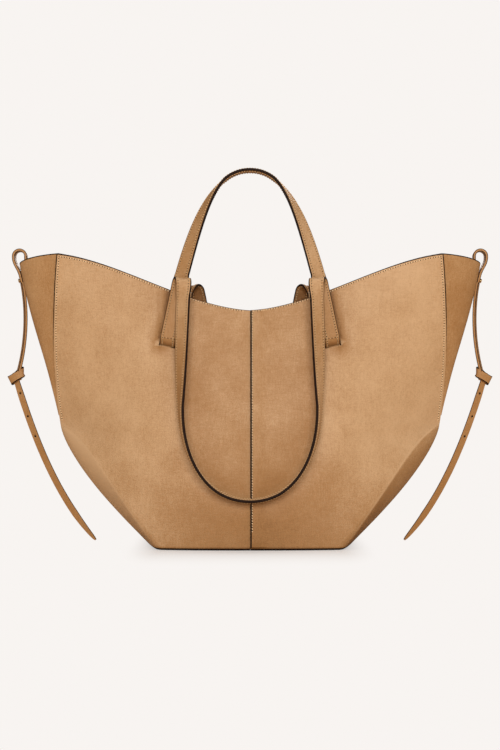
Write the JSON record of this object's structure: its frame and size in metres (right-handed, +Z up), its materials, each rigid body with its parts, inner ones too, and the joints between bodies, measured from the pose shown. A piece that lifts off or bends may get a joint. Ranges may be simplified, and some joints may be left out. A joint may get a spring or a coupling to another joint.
{
  "type": "structured tote bag",
  "caption": "Leather tote with flared gusset wings, a dipped lapped rim, hand handles, shoulder handles and a knotted tie at each wing.",
  "frame": {"origin": "centre of the base on the surface that the bag stands on", "axes": "+Z up, +X towards the bag's right wing as seen from the front, front towards -Y"},
  "size_m": [0.6096, 0.2058, 0.4631],
  "materials": {
    "panel_leather": "fine grained tan leather",
    "gusset_leather": "fine grained tan leather, darker",
    "strap_leather": "smooth tan leather with dark painted edges",
    "lining_leather": "plain tan leather",
    "board": "stiff fibre board",
    "stud_metal": "dull gilt"
  },
  "bodies": {
    "bag": {"front_panel_left": "panel_leather", "front_panel_right": "panel_leather", "back_panel_left": "panel_leather", "back_panel_right": "panel_leather", "side_gusset_left": "gusset_leather", "side_gusset_right": "gusset_leather", "base_panel": "panel_leather", "base_board": "board", "rim_facing_front": "lining_leather", "rim_facing_back": "lining_leather", "wing_facing_left": "lining_leather", "wing_facing_right": "lining_leather", "strap_patch_front_left": "lining_leather", "strap_patch_front_right": "lining_leather", "strap_patch_back_left": "lining_leather", "strap_patch_back_right": "lining_leather", "short_handle_front_end_left": "strap_leather", "short_handle_front_end_right": "strap_leather", "long_handle_front_end_left": "strap_leather", "long_handle_front_end_right": "strap_leather", "short_handle_back_end_left": "strap_leather", "short_handle_back_end_right": "strap_leather", "long_handle_back_end_left": "strap_leather", "long_handle_back_end_right": "strap_leather", "tie_loop_left": "strap_leather", "tie_stud_left": "stud_metal", "stud_back_left": "stud_metal", "tie_loop_right": "strap_leather", "tie_stud_right": "stud_metal", "stud_back_right": "stud_metal"},
    "short_handle_front": {"short_handle_front": "strap_leather"},
    "short_handle_back": {"short_handle_back": "strap_leather"},
    "long_handle_front": {"long_handle_front": "strap_leather"},
    "long_handle_back": {"long_handle_back": "strap_leather"},
    "side_tie_left": {"side_tie_left": "strap_leather", "tie_knot_left": "strap_leather", "tie_tail_left": "strap_leather"},
    "side_tie_right": {"side_tie_right": "strap_leather", "tie_knot_right": "strap_leather", "tie_tail_right": "strap_leather"}
  },
  "joints": [
    {"name": "short_handle_front_swing", "type": "hinge", "parent": "bag", "child": "short_handle_front", "pos_m": [0, -0.05685, 0.333], "axis": [-1, 0, 0], "range_deg": [0, 90]},
    {"name": "short_handle_back_swing", "type": "hinge", "parent": "bag", "child": "short_handle_back", "pos_m": [0, 0.05611, 0.32232], "axis": [-1, 0, 0], "range_deg": [0, 165]},
    {"name": "long_handle_front_swing", "type": "hinge", "parent": "bag", "child": "long_handle_front", "pos_m": [0, -0.07577, 0.33131], "axis": [-1, 0, 0], "range_deg": [0, 165]},
    {"name": "long_handle_back_swing", "type": "hinge", "parent": "bag", "child": "long_handle_back", "pos_m": [0, 0.07577, 0.33052], "axis": [1, 0, 0], "range_deg": [0, 165]},
    {"name": "side_tie_left_swing", "type": "hinge", "parent": "bag", "child": "side_tie_left", "pos_m": [-0.28779, 0, 0.33068], "axis": [-0.9797, 0, -0.2006], "range_deg": [-40, 40]},
    {"name": "side_tie_right_swing", "type": "hinge", "parent": "bag", "child": "side_tie_right", "pos_m": [0.28779, 0, 0.33068], "axis": [0.9797, 0, -0.2006], "range_deg": [-40, 40]}
  ]
}
